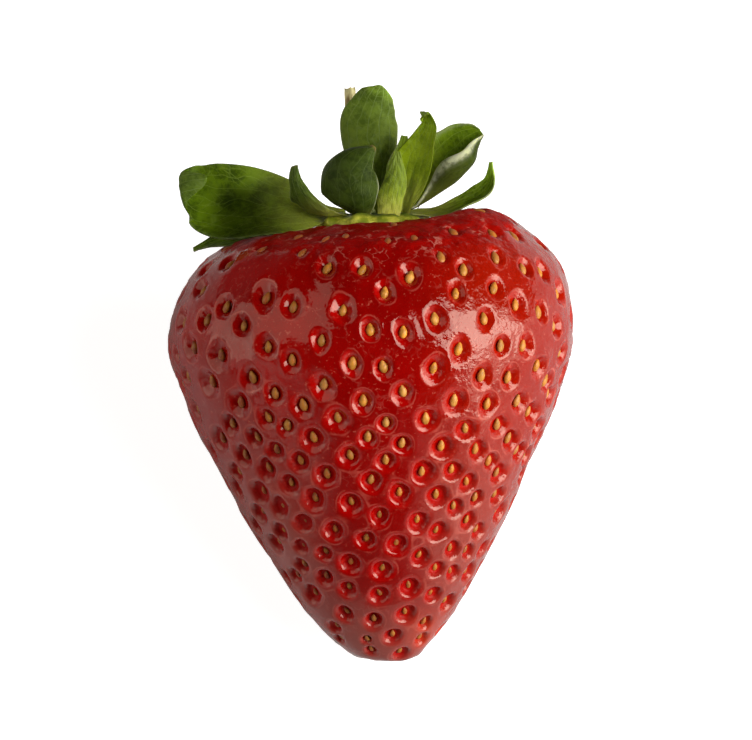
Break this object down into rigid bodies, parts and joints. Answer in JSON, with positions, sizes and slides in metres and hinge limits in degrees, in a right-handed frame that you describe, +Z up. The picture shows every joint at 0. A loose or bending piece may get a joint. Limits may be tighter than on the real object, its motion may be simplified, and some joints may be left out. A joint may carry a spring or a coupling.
{
  "type": "strawberry",
  "caption": "Ripe conical strawberry as picked, lying on its flank, with its leafy calyx and a short cut stalk, to be placed on a table, plate or dessert.",
  "frame": {"origin": "Centre of the small flat spot on the berry's flank, on the surface that it lies on.", "axes": "+Z up from the surface; +Y from the berry's tip towards its leaves, level along the surface; +X to the right when looking along +Y. The berry's own axis rises 23.5 degrees above +Y, so its leafy end is the higher one."},
  "size_m": [0.0446, 0.0622, 0.0401],
  "materials": {
    "berry_skin": "gloss",
    "seed_gold": "satin",
    "calyx_green": "matte",
    "stalk_green": "matte",
    "sepal_green": "satin",
    "bract_green": "satin"
  },
  "bodies": {
    "root": {"berry_flesh": "berry_skin", "calyx_disc": "calyx_green", "stalk": "stalk_green", "sepal_left": "sepal_green", "sepal_front_cupped": "sepal_green", "sepal_centre_hooked": "sepal_green", "sepal_right_folded": "sepal_green", "sepal_back_tall": "sepal_green", "bract_left_low": "bract_green", "bract_left_upright": "bract_green", "bract_centre_front": "bract_green", "bract_right": "bract_green", "bract_centre_back": "bract_green"}
  },
  "joints": []
}
